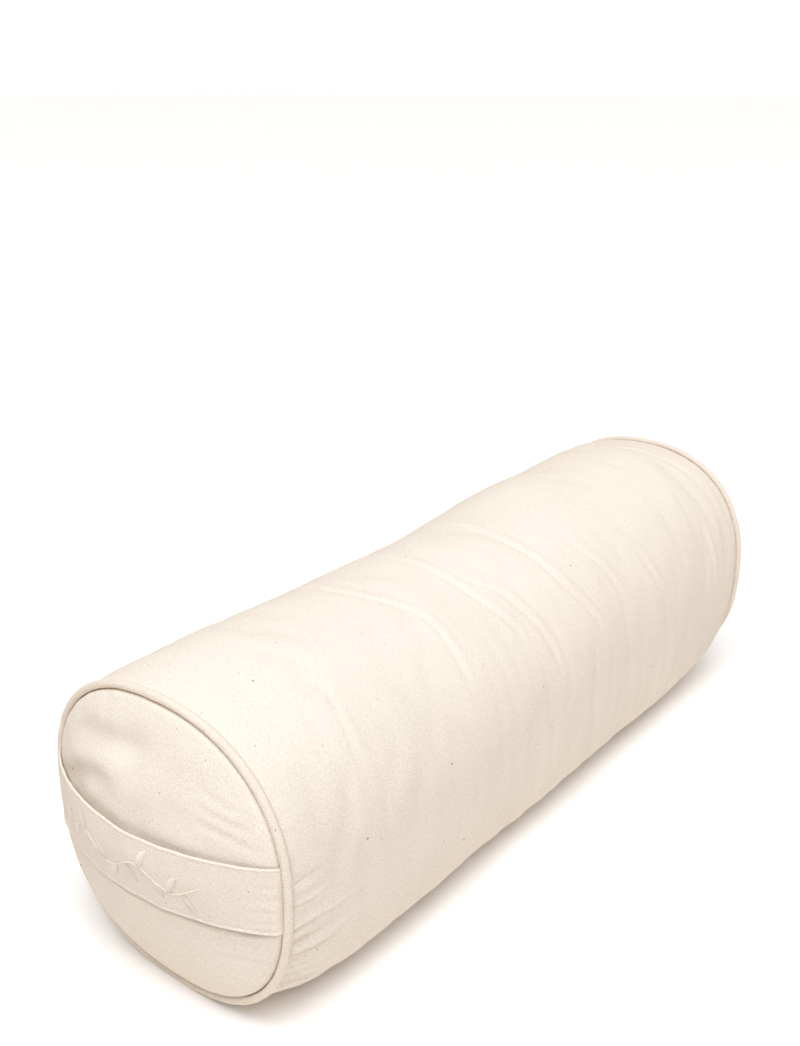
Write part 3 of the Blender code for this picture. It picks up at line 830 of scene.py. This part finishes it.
def strap_relief(x, up):
    """How the strap's outer face stands out from flat, with up its height from the strap's middle."""
    half = STRAP_WIDTH / 2
    lower, upper = up + half, half - up
    relief = 0.00055 * bell(lower - 0.0011, 0.0010) + 0.00030 * bell(upper - 0.0007, 0.0008)
    relief = relief - 0.00035 * bell(lower - HEM, 0.0005) - 0.00025 * bell(upper - HEM, 0.0005)
    relief = relief + 0.00045 * patches(61, 16, (0.03, 0.07), x, up)
    relief = relief + 0.00016 * patches(62, 16, (0.010, 0.022), x, up)
    near_end = smooth_step(np.abs(x), 0.078, STRAP_END)
    for k, place in enumerate((-0.015, -0.007, 0.002, 0.010)):
        slope = 0.06 * math.sin(2.3 * k)
        relief = relief - 0.0005 * near_end * bell(up - place - slope * (STRAP_END - np.abs(x)), 0.0017)
    return relief


def strap_face(x, up):
    """Points of the strap's outer face."""
    z = STRAP_Z + up + 0.0005 * patches(63, 8, (0.06, 0.12), x, 0 * up)
    tuck_in = 0.0050 * np.exp(-np.maximum(STRAP_END - np.abs(x), 0) / 0.0011)
    y = -(strap_base(x, z) + STRAP_THICKNESS + strap_relief(x, up) - tuck_in)
    return np.stack([x, y, z], -1)


def strap_half(side):
    """One half of the strap, from the middle to the seam: an outer face, folded edges and a back."""
    near_end = STRAP_END - np.array([0.0034, 0.0024, 0.0017, 0.0011, 0.0006, 0.0])
    x = side * np.concatenate([np.linspace(0.0, STRAP_END - 0.0046, 130), near_end])
    half, edge = STRAP_WIDTH / 2, STRAP_THICKNESS / 2
    fine = [0.0, 0.0002, 0.0005, 0.0008, 0.0011, 0.0015, 0.0019, 0.0023, 0.0027, 0.0030, 0.0033, 0.0037]
    fine = np.array(fine)
    inner = np.linspace(half - 0.0060, -half + 0.0060, 34)
    flat = np.concatenate([half - edge - fine, inner, -half + edge + fine[::-1]])
    turn = np.linspace(0, math.pi, 8)[1:-1]
    fold = np.sin(turn) * edge
    up = np.concatenate([flat, -half + edge - fold, flat[::-1], half - edge + fold])
    front, rear = np.zeros(len(flat)), np.full(len(flat), 2.0)
    back = np.concatenate([front, 1 - np.cos(turn), rear, 1 + np.cos(turn)]) * edge
    xx, uu = np.meshgrid(x, up, indexing="ij")
    points = strap_face(xx, uu)
    points[..., 1] += back[None, :] * np.where(back > edge, 0.98, 1.0)
    arc = np.concatenate([[0], np.cumsum(np.hypot(np.diff(x), np.diff(points[:, 0, 1])))]) * side
    plan = np.stack([np.broadcast_to(arc[:, None], uu.shape), uu], -1)
    name = f"strap_{HALF_NAMES[side]}_half"
    return grid_object(name, points, closed_plan(plan), closed=True, flip=side < 0)


def on_strap(x, up, lift):
    return strap_face(x, up) + np.array(FORWARD) * np.asarray(lift)[..., None]


def row_of_stitches(line, out, stitch=0.0026, gap=0.0010, radius=0.00030):
    """Lines, radii and up directions of a row of stitches, each dipping into the cloth at its ends."""
    length = far_along(line)
    starts = np.arange(gap, length[-1] - stitch, stitch + gap)
    t = np.linspace(0, 1, 7)
    at = starts[:, None] + t[None, :] * stitch
    places = np.stack([np.interp(at, length, line[:, k]) for k in range(3)], -1)
    up = np.stack([np.interp(at, length, out[:, k]) for k in range(3)], -1)
    rise = radius * (1.5 * np.sin(math.pi * t) - 0.9)
    radii = np.broadcast_to(radius * (0.35 + 0.65 * np.sin(math.pi * t)), at.shape)
    return places + up * rise[None, :, None], radii, up


def strap_stitching(side):
    """The stitches that hold down the strap's turned edges."""
    x = side * np.linspace(0.0006, STRAP_END - 0.003, 160)
    rows = []
    for up in (STRAP_WIDTH / 2 - HEM, HEM - STRAP_WIDTH / 2):
        line = on_strap(x, np.full_like(x, up), 0 * x)
        rows.append(row_of_stitches(line, np.tile(FORWARD, (len(x), 1))))
    lines, radii, up = [np.concatenate(parts) for parts in zip(*rows)]
    return tubes(f"strap_stitching_{HALF_NAMES[side]}", lines, radii, up)


def vine(side):
    """A stitched sprig on the strap: a wavy stem, with leaves of satin stitch to either side of it."""
    reach = 0.072 if side < 0 else 0.064

    def stem(x):
        return 0.0062 * np.sin(2 * math.pi * x / 0.056) - 0.001

    x = side * np.linspace(0.0003, reach, 200)
    line = on_strap(x, stem(x), 0 * x)
    forward = np.tile(FORWARD, (len(x), 1))
    lines, radii, up = row_of_stitches(line, forward, stitch=0.0036, gap=-0.0010, radius=0.00068)
    parts = [tubes("stem", lines, radii, up)]
    threads, leaf = 25, 0.0140
    t = np.linspace(0.02, 0.98, threads)[:, None]
    s = np.linspace(-1, 1, 7)[None, :]
    half = 0.0027 * np.sin(math.pi * t**0.85) ** 0.75 + 0.0003
    for k, x0 in enumerate(np.arange(0.005, reach - 0.004, 0.0112)):
        base_x = side * x0
        turn = math.radians(58 if k % 2 else -58)
        heading = np.array([side * math.cos(turn), math.sin(turn)])
        across = np.array([-heading[1], heading[0]])
        px = base_x + heading[0] * (0.0008 + leaf * t) + (across[0] + 0.35 * heading[0]) * half * s
        pz = stem(base_x) + heading[1] * (0.0008 + leaf * t) + (across[1] + 0.35 * heading[1]) * half * s
        lift = 0.0012 * (1 - s**2) * (half / 0.0030) - 0.00005
        stitched = on_strap(px, pz, np.broadcast_to(lift, px.shape))
        outwards = np.broadcast_to(np.array(FORWARD), stitched.shape)
        taper = 0.00032 * (1 - 0.5 * s**4) * np.ones_like(t)
        parts.append(tubes("leaf", stitched, taper, outwards))
    return joined(f"strap_sprig_{HALF_NAMES[side]}", parts)


# The zip


def coil(side):
    """One row of the zip's coil: a flattened helix, half a turn out of step with the other row."""
    turns = int(2 * COIL_HALF / COIL_PITCH)
    steps = turns * 11
    t = np.linspace(0, turns, steps)
    phase = 2 * math.pi * t + (0 if side > 0 else math.pi)
    y = -COIL_HALF + t / turns * 2 * COIL_HALF
    x = -HALF_WIDTH + 0.0002 + 0.00078 * np.sin(phase)
    z = WIDEST_Z + side * (0.00150 + 0.00165 * np.cos(phase))
    line = np.stack([x, y, z], -1)[None]
    up = np.tile((0.0, 1.0, 0.0), (1, steps, 1))
    return tubes(f"coil_{ROW_NAMES[side]}_row", line, 0.00030, up, sides=6)


def tape_stitches(side):
    """The sewing that holds a coil to its tape."""
    y = np.linspace(-COIL_HALF, COIL_HALF, 400)
    rows = []
    for up in (0.00375, 0.00435):
        place = np.full_like(y, -HALF_WIDTH + 0.0021)
        line = np.stack([place, y, np.full_like(y, WIDEST_Z + side * up)], -1)
        out = np.tile((-1.0, 0.0, 0.0), (len(y), 1))
        rows.append(row_of_stitches(line, out, stitch=0.0020, gap=0.0005, radius=0.00018))
    lines, radii, up = [np.concatenate(parts) for parts in zip(*rows)]
    return tubes(f"tape_stitches_{ROW_NAMES[side]}", lines, radii, up, sides=5)


def softened(node, name, width):
    """A copy of a metal CAD node with its edges rounded off, as a casting's are."""
    mesh = bpy.data.objects[node].data.copy()
    obj = bpy.data.objects.new(name, mesh)
    bpy.context.scene.collection.objects.link(obj)
    mesh.materials.clear()
    edge = obj.modifiers.new("round edges", "BEVEL")
    edge.width = width
    edge.segments = 3
    edge.limit_method = "ANGLE"
    edge.angle_limit = math.radians(35)
    mesh.shade_smooth()
    mesh.set_sharp_from_angle(angle=math.radians(40))
    return obj


# What the cover holds


def bag_inset(u, extra):
    return 0.0045 + extra + tuck(u) * (1 + 0.0100 / SEAM_DROP)


def bag_wrap():
    y = np.linspace(-0.3198, 0.3198, 150)[:, None]
    angles, length = middle_outline()
    share = np.arange(170) / 170
    angle = np.interp(share * length[-1], length, angles)[None, :]
    u = y / HALF_LENGTH
    creased = 0.0003 * (1 + waves(71, 24, (3, 16), (0.03, 0.12), share[None, :], y))
    points = round_points(u, angle, bag_inset(u, 0) + creased)
    plan = np.stack(np.broadcast_arrays(np.append(share, 1.0)[None, :] * length[-1], y), -1)
    return grid_object("bag_wrap", points, plan, closed=True)


def bag_end_points(end, extra, shares, push):
    angle = np.linspace(math.pi, -math.pi, 171)[:-1]
    edge = 1 - 0.0052 / HALF_LENGTH
    rim = round_points(np.array([end * edge]), angle, bag_inset(np.array([edge]), extra))
    middle = (rim.max(0) + rim.min(0)) / 2
    bulge = END_BULGE[end] - 0.0048
    rings = []
    for share in shares:
        ring = middle + (rim - middle) * share
        ring[:, 1] += end * (push + bulge * crown(share))
        rings.append(ring)
    return np.array(rings)


def bag_disc(end):
    shares = np.concatenate([np.linspace(1, 0.06, 34), [0.03, 0.004]])
    points = bag_end_points(end, 0.0, shares, 0.0006)
    gather = 0.0003 * patches(73, 20, (0.012, 0.04), points[..., 0], points[..., 2])
    points[..., 1] -= end * np.abs(gather)
    plan = closed_plan(np.stack([points[..., 0], points[..., 2]], -1))
    return grid_object(f"bag_{END_NAMES[end]}_disc", points, plan, closed=True, flip=end < 0)


def filling():
    """The heap of hulls, one closed skin with small bumps."""
    y = np.linspace(-0.3190, 0.3190, 190)[:, None]
    angle = np.linspace(math.pi, -math.pi, 171)[:-1][None, :]
    u = y / HALF_LENGTH
    body = round_points(u, angle, bag_inset(u, 0.0012))
    shares = np.concatenate([np.linspace(0.97, 0.06, 34), [0.03, 0.004]])
    front = bag_end_points(-1, 0.0012, shares[::-1], 0.0)
    rear = bag_end_points(1, 0.0012, shares, 0.0)
    points = np.concatenate([front, body, rear])
    bumps = patches(81, 40, (0.005, 0.010), points[..., 1] + points[..., 0], points[..., 2] * 1.3)
    away = points - np.array([0, 0, WIDEST_Z])
    points = points - away * (0.0030 * (1 + bumps))[..., None] * 0.9
    plan = closed_plan(np.stack([points[..., 0], points[..., 1]], -1))
    return grid_object("hull_heap", points, plan, closed=True)


def cord(end):
    """The three-strand cotton cord inside the piping."""
    steps = 780
    line, out, along, where, around = ring_line(end, steps)
    turns = round(around / 0.013)
    strands = []
    for k in range(3):
        phase = (2 * math.pi * (turns * where / around + k / 3))[:, None]
        strands.append(line + 0.00115 * (out * np.cos(phase) + along * np.sin(phase)))
    up = np.broadcast_to(along, (3, steps, 3))
    return tubes(f"{END_NAMES[end]}_cord", np.array(strands), 0.00118, up, sides=7, closed=True)


# Studio


def studio():
    size = 60.0
    points = np.array([[[x, y, 0.0] for x in (-size, size)] for y in (-size, size)])
    floor = grid_object("studio_floor", points, points[..., :2])
    n = Nodes("studio floor")
    n.set("Base Color", FLOOR_COLOUR)
    n.set("Roughness", 0.9)
    n.set("Emission Color", (1, 1, 1, 1))
    n.set("Emission Strength", FLOOR_GLOW)
    floor.data.materials.append(n.material)

    world = bpy.data.worlds.new("studio")
    bpy.context.scene.world = world
    world.use_nodes = True
    nodes, links = world.node_tree.nodes, world.node_tree.links
    nodes.clear()
    seen = nodes.new("ShaderNodeBackground")
    seen.inputs["Color"].default_value = (1, 1, 1, 1)
    seen.inputs["Strength"].default_value = 1.2
    fill = nodes.new("ShaderNodeBackground")
    fill.inputs["Color"].default_value = FILL_COLOUR
    # The sky is brightest overhead and fades to nothing at the horizon.
    sky = nodes.new("ShaderNodeTexCoord")
    split = nodes.new("ShaderNodeSeparateXYZ")
    overhead = nodes.new("ShaderNodeMath")
    overhead.operation = "MULTIPLY"
    overhead.inputs[1].default_value = FILL_LIGHT * 1.5
    overhead.use_clamp = True
    links.new(sky.outputs["Generated"], split.inputs[0])
    links.new(split.outputs[2], overhead.inputs[0])
    links.new(overhead.outputs[0], fill.inputs["Strength"])
    path = nodes.new("ShaderNodeLightPath")
    choose = nodes.new("ShaderNodeMixShader")
    output = nodes.new("ShaderNodeOutputWorld")
    links.new(path.outputs["Is Camera Ray"], choose.inputs[0])
    links.new(fill.outputs[0], choose.inputs[1])
    links.new(seen.outputs[0], choose.inputs[2])
    links.new(choose.outputs[0], output.inputs[0])

    key = bpy.data.lights.new("key", "SUN")
    key.angle = math.radians(50)
    key.energy = KEY_LIGHT
    lamp = bpy.data.lights.new("lamp", "AREA")
    lamp.shape = "DISK"
    lamp.size = 0.9
    lamp.energy = LAMP_LIGHT
    for light, place in ((key, KEY_FROM), (lamp, LAMP_FROM)):
        light.color = LIGHT_COLOUR
        obj = bpy.data.objects.new(light.name, light)
        bpy.context.scene.collection.objects.link(obj)
        obj.location = place
        obj.rotation_euler = Vector(place).to_track_quat("Z", "Y").to_euler()


def camera():
    data = bpy.data.cameras.new("camera")
    data.sensor_width = 36.0
    data.lens = CAMERA_LENS
    obj = bpy.data.objects.new("camera", data)
    bpy.context.scene.collection.objects.link(obj)
    azimuth, elevation = math.radians(CAMERA_TURN), math.radians(CAMERA_RISE)
    back = np.array([
        math.sin(azimuth) * math.cos(elevation),
        -math.cos(azimuth) * math.cos(elevation),
        math.sin(elevation),
    ])
    obj.location = np.array(CAMERA_TARGET) + back * CAMERA_DISTANCE
    obj.rotation_euler = (math.pi / 2 - elevation, 0.0, azimuth)
    bpy.context.scene.camera = obj


def main():
    scene = bpy.context.scene
    scene.view_settings.view_transform = "Standard"
    camera()
    studio()

    cloth = canvas("natural canvas", CANVAS_COLOUR)
    strap_cloth = canvas("strap canvas", tuple(c * 0.985 for c in CANVAS_COLOUR))
    bias = canvas("bias canvas", PIPING_COLOUR, turned=math.radians(45))
    sewing = thread("sewing thread", THREAD_COLOUR)
    metal = nickel("dull nickel")
    coil_nylon = nylon("coil nylon", (0.80, 0.72, 0.61))
    tape = tape_cloth("zip tape", (0.80, 0.71, 0.60))
    bag_cotton = cotton("bag cotton", (0.86, 0.83, 0.77))
    cord_cotton = cotton("cord cotton", (0.85, 0.82, 0.76), scale=2600.0)

    wrap, seams = cover_wrap()
    finish_piece(wrap, cloth, replaced=["cover_wrap"])
    for (line, out), name in zip(seams, ROW_NAMES.values()):
        lines, radii, up = row_of_stitches(line, out)
        finish_piece(tubes(f"zip_stitching_{name}", lines, radii, up), sewing)
    for end, name in END_NAMES.items():
        finish_piece(piping(end), bias, replaced=[f"{name}_piping_strip"])
        finish_piece(cord(end), cord_cotton, replaced=[f"{name}_piping_cord"])
        panel = finish_piece(end_panel(end), cloth, replaced=[f"{name}_end_panel"])
        finish_piece(bag_disc(end), bag_cotton, replaced=[f"inner_bag_{name}_disc"])
    finish_piece(bag_wrap(), bag_cotton, replaced=["inner_bag_wrap"])
    finish_piece(filling(), hulls("grain hulls"), replaced=["hull_filling"])
    for side, name in HALF_NAMES.items():
        half = strap_half(side)
        nodes = [f"handle_{layer}_{name}_leg" for layer in ("face", "backing")]
        if side > 0:
            nodes += ["handle_face_grip", "handle_backing_grip"]
        finish_piece(half, strap_cloth, body=None, replaced=nodes)
        stitching = finish_piece(strap_stitching(side), sewing, body=None)
        sprig = finish_piece(vine(side), sewing, body=None)
        for piece in (half, stitching, sprig):
            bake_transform(piece)
    for side, name in ROW_NAMES.items():
        finish_piece(coil(side), coil_nylon, replaced=[f"zip_coil_{name}"])
        finish_piece(tape_stitches(side), sewing)
        bpy.data.objects[f"zip_tape_{name}"].data.materials.clear()
        bpy.data.objects[f"zip_tape_{name}"].data.materials.append(tape)
    for node, name, body, width in (
        ("zip_slider", "slider_casting", "slider", 0.00025),
        ("zip_pull_pin", "pull_pin_rod", "slider", 0.00015),
        ("zip_pull_tab", "pull_tab_plate", "pull", 0.00025),
        ("zip_stop_closed_end", "closed_end_stop", "bolster", 0.00035),
        ("zip_stop_open_end", "open_end_stop", "bolster", 0.00035),
    ):
        finish_piece(softened(node, name, width), metal, body=body, replaced=[node])


main()
